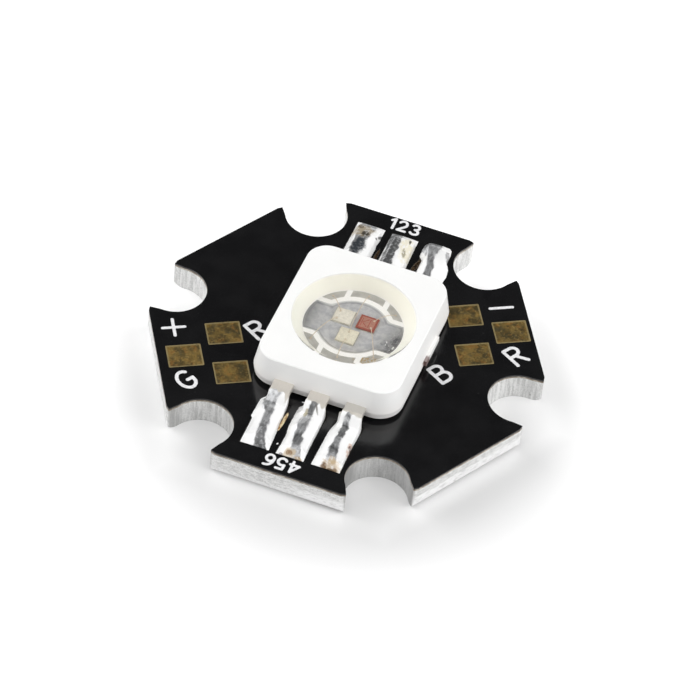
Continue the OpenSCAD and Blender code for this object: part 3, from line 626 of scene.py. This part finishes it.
# The dark streak along each joint, whose tones are partly painted reflection: distance v, brightness on a
# display, graininess
STREAKS = {
    1: [(-0.1, 205, 0.0), (0.15, 196, 0.1), (0.35, 158, 0.1), (0.55, 116, 0.1), (0.9, 122, 0.1),
        (1.3, 138, 0.2), (1.8, 178, 0.3), (2.3, 132, 0.6), (3.4, 84, 0.8)],
    2: [(-0.1, 170, 0.1), (0.0, 110, 0.1), (0.2, 86, 0.1), (0.5, 90, 0.1), (0.8, 160, 0.3), (1.3, 190, 0.3),
        (1.8, 140, 0.1), (2.1, 102, 0.1), (2.7, 112, 0.2), (3.4, 160, 0.5)],
    3: [(-0.17, 70, 0.0), (0.0, 150, 0.1), (0.15, 90, 0.1), (0.3, 160, 0.2), (0.5, 84, 0.1), (1.3, 92, 0.2),
        (1.6, 200, 0.6), (1.9, 160, 0.7), (2.2, 90, 0.3), (2.6, 150, 0.4), (3.4, 180, 0.5)],
    4: [(-0.1, 126, 0.2), (0.5, 124, 0.2), (1.5, 132, 0.2), (2.2, 146, 0.1), (3.0, 138, 0.1),
        (3.44, 120, 0.1)],
    5: [(-0.1, 124, 0.5), (0.6, 108, 0.7), (1.5, 104, 0.8), (2.4, 110, 0.8), (3.0, 120, 0.7),
        (3.38, 130, 0.6)],
    6: [(-0.1, 120, 0.2), (0.9, 110, 0.2), (1.6, 110, 0.3), (2.0, 140, 0.5), (3.38, 170, 0.5)],
}


# The streak's colour is its brightness on the display times these, because its metal mirrors the dark
# card on the flat top and the rest of the room on the slopes at both ends
FLAT_GAIN = 3.1
SLOPE_GAIN = 2.2


def streak_at(index, u, v, left, right):
    """Share, colour and graininess of the streak, and how far the lead's plating still shows."""
    seed = index * 9.0

    def ripple(along_u, along_v, step=0):
        return noise.noise(Vector((u * along_u, v * along_v, seed + step)))

    edge = 0.10 * ripple(3, 2.4) + 0.05 * ripple(9, 7)
    share = ease((min(u - left, right - u) + edge + 0.05) / 0.10)
    tone, speckle = (read(STREAKS[index], v + 0.10 * ripple(4, 2, 4), n) for n in (1, 2))
    slope = min(1, max(0, (0.75 - v) / 0.4, (v - 2.6) / 0.3))
    light = rgb(tone, tone, tone)[0] * (FLAT_GAIN + (SLOPE_GAIN - FLAT_GAIN) * slope)
    limit = 0.02 + 0.22 * max(0.0, u) + 0.14 * ripple(5, 3, 8)
    return share, min(0.98, light), speckle, ease((limit - v) / 0.10)


def flank_height(u, edge, flat, foot_at, foot, mound):
    """Height on a joint's flank, which is straight unless it has to clear the lead's foot."""
    z = mound * (u - edge) / (flat - edge)
    if foot > mound * (foot_at - edge) / (flat - edge) and edge < foot_at < flat:
        z = min(foot * (u - edge) / (foot_at - edge),
                foot + (mound - foot) * (u - foot_at) / (flat - foot_at))
    # A rounded shoulder where the flank meets the flat top
    gap, soft = mound - z, 0.05
    if gap > soft:
        return z
    return mound - (gap + soft) ** 2 / (4 * soft) if gap > -soft else mound


def solder_joint(index, material):
    """The joint's skin: it coats the lead's slope, buries its foot and ends on the pad's outline."""
    data = JOINTS[index]
    flat, band, crest, row = data["flat"], data.get("band", data["flat"]), data["crest"], data["row"]
    shift = LED[0] - PRINT[0]
    start, end = data["start"], PAD_LENGTH + 0.01 + data["over"]
    foot_end = abs(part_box(f"lead_{index}")[(row + 1) // 2].y / MM - PRINT[1]) - PAD_START
    foot_gap, side_gap, coat_end, coat_height, sunk, in_lead = 0.04, 0.03, 0.8, 0.055, 0.012, 0.20
    foot_left, foot_right = shift - LEAD_HALF - foot_gap, shift + LEAD_HALF + foot_gap
    along = np.concatenate([np.linspace(start, 0.9, 54), np.linspace(0.915, end - 0.24, 74),
                            np.linspace(end - 0.225, end, 16)])
    # The mound's height over the pad, smoothed
    knots = [(-0.04, 0.0), (0.0, 0.05), (0.06, 0.15), (0.2, 0.28), (0.5, 0.86 * crest), (0.9, crest),
             (1.7, crest), (2.3, 0.44), (foot_end, 0.36), (end - 0.3, 0.23), (end - 0.1, 0.09), (end, 0.03)]
    even = np.linspace(start, end, 400)
    heights = np.pad(np.interp(even, *zip(*knots)), 8, mode="edge")
    heights = np.convolve(heights, np.ones(17) / 17, "valid")
    columns = 74
    top = np.zeros((len(along), columns + 1, 3))
    bottom = np.zeros_like(top)
    look = np.zeros((len(along), columns + 1, 4))
    for i, v in enumerate(along):
        cover = read(LEAD_FACE, PAD_START + v + row * (PRINT[1] - LED[1])) - MASK_TOP
        edge = 0.014 * noise.noise(Vector((v * 5, index * 4.0, 0)))
        left, right = read(data["left"], v) + edge, read(data["right"], v) - edge
        flat_left, flat_right = (read(flat, v, n) + 0.05 * noise.noise(Vector((v * 2.4, index * 3.0, n)))
                                 for n in (1, 2))
        streak = [read(band, v, n) for n in (1, 2)]
        mound = np.interp(v, even, heights) * (1 + 0.06 * noise.noise(Vector((v * 1.7, index, 5))))
        foot = min(0.97 * mound, cover + foot_gap) if v < foot_end + foot_gap else 0.0
        on_pad = min(1, max(0, (v + 0.05) / 0.10))
        early = max(0.0, 1 - (v - start) / 0.4)
        for j in range(columns + 1):
            s = 2 * j / columns - 1
            u = (right if s > 0 else left) * s
            z = flank_height(u, -left, flat_left, foot_left, foot, mound)
            z = min(z, flank_height(-u, -right, -flat_right, -foot_right, foot, mound))
            # A rounded coat on the lead, and solder drawn up at its sides
            beside = abs(u - shift) - LEAD_HALF - side_gap
            if beside < 0 and v < coat_end:
                q = 1 + beside / (LEAD_HALF + side_gap)
                coat = coat_height * min(1, (v - start) / 0.25, (coat_end - v) / 0.3)
                z = max(z, cover + 0.012 + coat * (1 - q ** 4) ** 0.5)
            elif 0 < v < coat_end:
                z += max(0.0, 0.85 * cover - z) * max(0.0, 1 - beside / 0.12) ** 2
            x = PRINT[0] + data["x"] * LEAD_PITCH + u
            back = early * 0.10 * noise.noise(Vector((u * 4.5, index, 7)))
            y = PRINT[1] + row * (PAD_START + v - back)
            calm = min(1, max(0, z) / 0.12)
            z += calm * rough_at(x, y, index, ((1.2, 0.014), (3.2, 0.002)))
            # The underside lies in the pad, and before it inside the lead
            floor = -sunk * on_pad + (1 - on_pad) * (cover - in_lead)
            top[i, j] = (x, y, MASK_TOP + max(z, floor + 0.004))
            bottom[i, j] = (x, y, MASK_TOP + floor)
            look[i, j] = streak_at(index, u, v, *streak)
    fields = {field: np.tile(look[:, :, n].ravel(), 2)
              for n, field in enumerate(("streak", "tone", "speckle", "bare"))}
    return piece(f"solder_{index}", *sheet_solid(top, bottom), material, "solder", (f"solder_joint_{index}",),
                 fields=fields)


def silicone(material):
    """The clear filling, revolved. Its meniscus climbs the wall, and it reaches a hair into the plastic."""
    rise, reach, steps, sides = 0.035, 0.22, 21, 144
    slope = (CUP_RIM_R - CUP_FLOOR_R) / (HOUSING_TOP - FLOOR_Z)
    climb = FILL_Z + rise
    wall_r = CUP_FLOOR_R + slope * (climb - FLOOR_Z) + 0.01
    profile = [(CUP_FLOOR_R - 0.02, RECESS_Z - 0.03), (CUP_FLOOR_R + 0.012, FLOOR_Z), (wall_r, climb)]
    for k in range(1, steps + 1):
        r = wall_r * (1 - k / steps)
        profile.append((r, climb - (climb - FILL_Z + 0.01) * (1 - math.exp(-(wall_r - r) / reach))))
    rings = [[(LED[0] + r * math.cos(a), LED[1] + r * math.sin(a), z)
              for a in (2 * math.pi * k / sides for k in range(sides))] for r, z in profile[:-1]]
    solid = ringed_solid(rings, (*LED, profile[0][1]), (*LED, profile[-1][1]))
    return piece("silicone_filling", *solid, material, "encapsulant", ("encapsulant",))


def arc(cx, cy, rx, ry, start, end, steps=14):
    """Points on a part of an ellipse."""
    unit = [cos_sin(start + (end - start) * k / steps) for k in range(steps + 1)]
    return [(cx + rx * c, cy + ry * s) for c, s in unit]


# Marks are drawn as round-ended strokes of points, in units of their height
GLYPHS = {
    "+": [[(0.0, 0.5), (0.84, 0.5)], [(0.42, 0.08), (0.42, 0.92)]],
    "-": [[(0.0, 0.5), (0.84, 0.5)]],
    "1": [[(0.10, 0.80), (0.34, 1.0), (0.34, 0.0)]],
    "2": [arc(0.30, 0.70, 0.28, 0.30, 160, -38) + [(0.02, 0.0), (0.62, 0.0)]],
    "3": [arc(0.28, 0.75, 0.26, 0.25, 150, -90), arc(0.28, 0.25, 0.30, 0.25, 90, -150)],
    "4": [[(0.50, 0.0), (0.50, 1.0), (0.0, 0.30), (0.66, 0.30)]],
    "5": [[(0.56, 1.0), (0.10, 1.0), (0.06, 0.58)] + arc(0.28, 0.32, 0.30, 0.32, 120, -150)],
    "6": [arc(0.50, 0.42, 0.48, 0.58, 80, 170) + arc(0.30, 0.30, 0.28, 0.30, 180, -180, 24)],
    "R": [[(0.0, 0.0), (0.0, 1.0), (0.32, 1.0)] + arc(0.34, 0.76, 0.26, 0.24, 90, -90) + [(0.0, 0.52)],
          [(0.28, 0.52), (0.62, 0.0)]],
    "G": [arc(0.36, 0.5, 0.36, 0.5, 50, 325, 24) + [(0.68, 0.46), (0.40, 0.46)]],
    "B": [[(0.0, 0.0), (0.0, 1.0), (0.28, 1.0)] + arc(0.30, 0.765, 0.24, 0.235, 90, -90)
          + [(0.0, 0.53), (0.32, 0.53)] + arc(0.34, 0.265, 0.27, 0.265, 90, -90) + [(0.0, 0.0)]],
}


def stroke_distance(x, y, strokes):
    """Distance of a place to the nearest stroke."""
    best = math.inf
    for stroke in strokes:
        for (ax, ay), (bx, by) in zip(stroke, stroke[1:]):
            dx, dy = bx - ax, by - ay
            length = dx * dx + dy * dy
            t = 0 if length == 0 else min(1, max(0, ((x - ax) * dx + (y - ay) * dy) / length))
            best = min(best, (x - ax - t * dx) ** 2 + (y - ay - t * dy) ** 2)
    return math.sqrt(best)


def mark(name, text, centre, height, turn, stroke, material, spacing=0.30):
    """Ink on the mask: the outline of the strokes, filled cell by cell and given a thickness."""
    thickness, sunk, ragged, cell = 0.012, 0.002, 0.010, 0.028
    strokes, pen = [], 0.0
    for letter in text:
        lines = GLYPHS[letter]
        strokes += [[(pen + px, py) for px, py in line] for line in lines]
        pen += max(px for line in lines for px, py in line) + spacing
    pen -= spacing
    strokes = [[((px - pen / 2) * height, (py - 0.5) * height) for px, py in line] for line in strokes]
    reach = (pen * height / 2 + stroke, height / 2 + stroke)
    count = [int(2 * r / cell) + 2 for r in reach]
    grid = [[stroke_distance(i * cell - reach[0], j * cell - reach[1], strokes) - stroke / 2
             + ragged * noise.noise(Vector((i * 0.45, j * 0.45, centre[0])))
             for j in range(count[1])] for i in range(count[0])]
    bm = bmesh.new()
    made = {}

    def corner(key, x, y):
        if key not in made:
            made[key] = bm.verts.new((x, y, 0.0))
        return made[key]

    for i in range(count[0] - 1):
        for j in range(count[1] - 1):
            ring = [(i, j), (i + 1, j), (i + 1, j + 1), (i, j + 1)]
            polygon = []
            for (a, b), (c, d) in zip(ring, ring[1:] + ring[:1]):
                va, vb = grid[a][b], grid[c][d]
                if va < 0:
                    polygon.append(corner((a, b), a * cell, b * cell))
                if (va < 0) != (vb < 0):
                    t = min(0.98, max(0.02, va / (va - vb)))
                    key = tuple(sorted(((a, b), (c, d))))
                    polygon.append(corner(key, (a + (c - a) * t) * cell, (b + (d - b) * t) * cell))
            if len(polygon) > 2:
                bm.faces.new(polygon)
    c, s = cos_sin(turn)
    for vert in bm.verts:
        x, y = vert.co.x - reach[0], vert.co.y - reach[1]
        vert.co = Vector((centre[0] + c * x - s * y, centre[1] + s * x + c * y, MASK_TOP - sunk))
    grown = bmesh.ops.extrude_face_region(bm, geom=list(bm.faces))
    bmesh.ops.translate(bm, vec=(0, 0, thickness),
                        verts=[e for e in grown["geom"] if isinstance(e, bmesh.types.BMVert)])
    bmesh.ops.recalc_face_normals(bm, faces=bm.faces)
    bm.verts.index_update()
    points = [tuple(v.co) for v in bm.verts]
    faces = [tuple(v.index for v in f.verts) for f in bm.faces]
    bm.free()
    return piece(name, points, faces, material, "mask", smooth=False)


def bead(name, centre, size, turn, height, material, slot, seed):
    """A low uneven drop on the mask, sunk into it a little."""
    count, sides, sunk = 9, 40, 0.006
    c, s = cos_sin(turn)
    rings = []
    for t in ((i + 1) / count for i in range(count)):
        rings.append([])
        for a in (2 * math.pi * k / sides for k in range(sides)):
            wobble = 1 + 0.22 * noise.noise(Vector((math.cos(a) * 1.6, math.sin(a) * 1.6, seed)))
            u, v = size[0] * t * wobble * math.cos(a), size[1] * t * wobble * math.sin(a)
            lift = height * (1 - t * t) * (1 + 0.3 * noise.noise(Vector((u * 6, v * 6, seed))))
            place = (centre[0] + c * u - s * v, centre[1] + s * u + c * v)
            rings[-1].append((*place, MASK_TOP + max(lift, -0.004)))
    rings.append([(x, y, MASK_TOP - sunk) for x, y, z in rings[-1]])
    solid = ringed_solid(rings, (*centre, MASK_TOP + height), (*centre, MASK_TOP - sunk))
    return piece(name, *solid, material, slot)


def raised_lines(name, centre, lines, width, height, base, material, slot):
    """Thin raised tracks on a face, each a closed bar with bevelled top edges."""
    points, faces = [], []
    for line in lines:
        start, end = (Vector((centre[0] + dx, centre[1] + dy, 0)) for dx, dy in line)
        d = (end - start).normalized()
        side = Vector((-d.y, d.x, 0)) * width / 2
        n = len(points)
        for z, inset in ((base - 0.004, 0.0), (base + height * 0.6, 0.0), (base + height, width * 0.2)):
            w = side * (1 - 2 * inset / width)
            for p in (start - w + d * inset, end - w - d * inset, end + w - d * inset, start + w + d * inset):
                points.append((p.x, p.y, z))
        faces.append((n + 3, n + 2, n + 1, n))
        for level in (0, 4):
            for k in range(4):
                m = (k + 1) % 4
                faces.append((n + level + k, n + level + m, n + level + 4 + m, n + level + 4 + k))
        faces.append((n + 8, n + 9, n + 10, n + 11))
    return piece(name, points, faces, material, slot, smooth=False)


# ---- dressing the solids ----

def dress(node, material):
    """Gives a CAD node its material."""
    obj = frame["nodes"][node]
    obj.data.materials.clear()
    obj.data.materials.append(material)


dress("solder_mask", mask_material())
dress("base_plate", aluminium_material())
dress("dielectric_layer", resin_material())
dress("thermal_pad", plain_material("copper_land", (0.50, 0.27, 0.14), (0.62, 0.36, 0.2), 0.4, 0.8))
dress("slug_solder", plain_material("solder_layer", (0.7, 0.7, 0.7), (0.82, 0.82, 0.82), 0.3, 0.9))
dress("heat_slug", slug_material())
dress("housing", housing_material())
plating = plating_material()
wire = plain_material("bond_wire_gold", (0.60, 0.51, 0.40), (0.72, 0.63, 0.52), 0.4, 0.35)
for i in range(1, 7):
    dress(f"copper_net_{i}", copper_material(i))
    dress(f"lead_{i}", plating)
    dress(f"bond_wire_{i}", wire)
dress("die_a", chip_material("a", rgb(226, 221, 209), rgb(218, 213, 200), 0.05))
dress("die_b", chip_material("b", rgb(225, 219, 200), rgb(216, 209, 190), 0.05))
dress("die_red", chip_material("red", rgb(176, 128, 113), rgb(150, 82, 71), 0.10))
paste = plain_material("die_paste", rgb(166, 164, 158), rgb(194, 192, 186), 0.5)
for name in ("a", "red", "b"):
    dress(f"die_attach_{name}", paste)

solder = solder_material()
for i in JOINTS:
    solder_joint(i, solder)
silicone(silicone_material())

ink = plain_material("white_ink", rgb(222, 222, 224), rgb(242, 242, 243), 0.5, scale=9.0, depth=0.006)
mark("mark_plus", "+", (-8.7, -2.67), 1.40, 30, 0.17, ink)
mark("mark_minus", "-", (6.65, 5.87), 1.45, 30, 0.17, ink)
mark("mark_left_outer", "G", (-6.7, -5.9), 1.20, 60, 0.19, ink)
mark("mark_left_inner", "R", (-4.63, -1.0), 1.20, 60, 0.19, ink)
mark("mark_right_outer", "R", (8.5, 2.85), 1.20, 60, 0.19, ink)
mark("mark_right_inner", "B", (5.3, 0.0), 1.20, 60, 0.19, ink)
mark("mark_back_pins", "123", (-0.16, 9.50), 0.74, 0, 0.15, ink, spacing=0.36)
mark("mark_front_pins", "456", (-0.02, -9.33), 0.74, 180, 0.15, ink)

flux = plain_material("flux_amber", rgb(150, 100, 50), rgb(242, 226, 184), 0.16, scale=7.0, depth=0.01)
dark_flux = plain_material("flux_brown", rgb(24, 18, 12), rgb(70, 52, 30), 0.25, scale=8.0, depth=0.02)
bead("flux_1", (-1.02, -6.55), (0.72, 0.09), 88, 0.05, flux, "resin", 1.0)
bead("flux_2", (1.44, 7.00), (0.66, 0.15), 80, 0.06, dark_flux, "resin", 2.0)
bead("flux_3", (-0.79, 6.55), (0.72, 0.12), 90, 0.03, dark_flux, "resin", 4.0)
bead("solder_crumb_1", (-0.47, -4.88), (0.17, 0.05), 6, 0.05, solder, "solder", 3.0)
bead("solder_crumb_2", (-0.74, -8.12), (0.08, 0.04), 60, 0.04, solder, "solder", 6.0)

# The electrode lines on the red chip, from its middle
low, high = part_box("die_red")
red_metal = plain_material("red_electrode", rgb(150, 78, 68), rgb(172, 98, 84), 0.4, 0.2)
raised_lines("red_electrode", middle(low, high),
             [((-0.32, -0.30), (-0.32, 0.30)), ((-0.27, 0.0), (0.02, 0.28)),
              ((-0.27, -0.02), (0.02, -0.28)), ((0.10, -0.30), (0.10, 0.30))],
             0.045, 0.006, DIE_TOP, red_metal, "die_red")


# ---- floor, light and camera ----

def floor_piece():
    """White floor under the part. Cameras and mirrors see it glow towards its far parts, as in the photo."""
    mesh = bpy.data.meshes.new("floor")
    bm = bmesh.new()
    bmesh.ops.create_grid(bm, x_segments=24, y_segments=24, size=0.9)
    bm.to_mesh(mesh)
    bm.free()
    floor = bpy.data.objects.new("floor", mesh)
    bpy.context.scene.collection.objects.link(floor)
    g = Graph("floor_white")
    g.finish(g.mix(g.noise(0.05, 2), (0.76, 0.76, 0.76), (0.78, 0.78, 0.78)), 0.22,
             Specular_IOR_Level=0.5, Emission_Color=(1, 1, 1, 1))
    path = g.node("LightPath").outputs
    seen = g.fold("MAXIMUM", [path[f"Is {kind} Ray"] for kind in ("Camera", "Glossy", "Transmission")])
    aside = g.minus(g.x, 1.0)
    aside = g.minus(aside, g.times(g.math("MAXIMUM", aside, 0.0), 0.07))
    far = g.span(g.distance(aside, g.plus(g.y, 3.0)), 7.8, 14.5, 0.0, 0.40)
    # Painted light: the floor glows a little more right beside the board's flats
    flats = [g.vector("DOT_PRODUCT", g.point, (*cos_sin(turn), 0.0)) for turn in FLAT_TURNS]
    across = g.fold("MAXIMUM", [g.math("ABSOLUTE", flat) for flat in flats])
    glow = g.plus(far, g.span(across, 11.3, 9.9, 0.0, 0.10))
    g.put(g.shader.inputs["Emission Strength"], g.times(seen, glow))
    mesh.materials.append(g.material)


def sky():
    """A white room for the camera. Everything else sees it uneven, as the photo's reflections show it."""
    world = bpy.data.worlds.new("soft_sky")
    bpy.context.scene.world = world
    world.use_nodes = True
    g = Nodes(world.node_tree)
    toward = g.node("TexCoord").outputs["Generated"]

    def facing(direction, low, high, start, end):
        """A factor by how far a ray points in a direction: 1 is straight at it."""
        return g.span(g.vector("DOT_PRODUCT", toward, Vector(direction).normalized()), low, high, start, end)

    # A dark card stands where flat faces mirror the camera's view, full within 27 degrees and gone at 44
    card = facing((-0.19, 0.665, 0.72), cos_sin(44)[0], cos_sin(27)[0], 1.0, 0.045)
    # The room is darker on the camera's side, at the horizon and overhead, and brighter up left and right
    level = facing((0.0, 1.0, 0.1), -1.0, 0.1, 0.62, 1.08)
    height = g.times(facing((0.0, 0.0, 1.0), 0.1, 0.5, 0.84, 1.02),
                     facing((0.0, 0.0, 1.0), 0.5, 1.0, 1.0, 0.74))
    sides = g.times(facing((1.0, 0.0, 1.0), 0.8, 1.0, 0.97, 1.5),
                    facing((-1.0, 0.0, 1.0), 0.8, 1.0, 0.97, 1.6))
    light = g.times(g.times(card, level), g.times(height, sides))
    camera_ray = g.node("LightPath").outputs["Is Camera Ray"]
    back = g.tree.nodes["Background"]
    g.put(back.inputs["Strength"], g.plus(g.times(light, g.minus(1.0, camera_ray)), camera_ray))
    g.put(back.inputs["Color"], (1.0, 1.0, 1.0))


def area(name, place, size, power):
    """A lamp aimed at the part. Mirrors don't show it: its image would bleach the housing's top."""
    data = bpy.data.lights.new(name, "AREA")
    data.shape = "RECTANGLE"
    data.size, data.size_y = size
    data.energy = power
    lamp = bpy.data.objects.new(name, data)
    lamp.location = place
    lamp.visible_glossy = False
    lamp.rotation_euler = (-Vector(place)).to_track_quat("-Z", "Y").to_euler()
    bpy.context.scene.collection.objects.link(lamp)


def pinhole_camera():
    """The camera fitted to the board's outline in the photo. Its turn is a rotation vector."""
    focal, photo_width, sensor = 3955.2, 700.0, 36.0
    place, turn = Vector((40.08, -138.49, 151.45)), Vector((2.3346937, 0.4552879, -0.0835211))
    data = bpy.data.cameras.new("camera")
    data.sensor_width = sensor
    data.sensor_fit = "HORIZONTAL"
    data.lens = focal * sensor / photo_width
    camera = bpy.data.objects.new("camera", data)
    bpy.context.scene.collection.objects.link(camera)
    right, down, forward = Matrix.Rotation(turn.length, 3, turn.normalized())
    pose = Matrix((right, -down, -forward)).transposed().to_4x4()
    pose.translation = place * MM
    camera.matrix_world = pose
    bpy.context.scene.camera = camera


floor_piece()
sky()
area("lamp_left", (-0.36, 0.02, 0.15), (0.30, 0.24), 0.61)
area("lamp_right", (0.36, 0.0, 0.15), (0.30, 0.24), 0.53)
area("lamp_top", (0.0, -0.06, 0.42), (0.26, 0.26), 0.23)
pinhole_camera()
bpy.context.scene.view_settings.view_transform = "Standard"

bpy.context.view_layer.update()
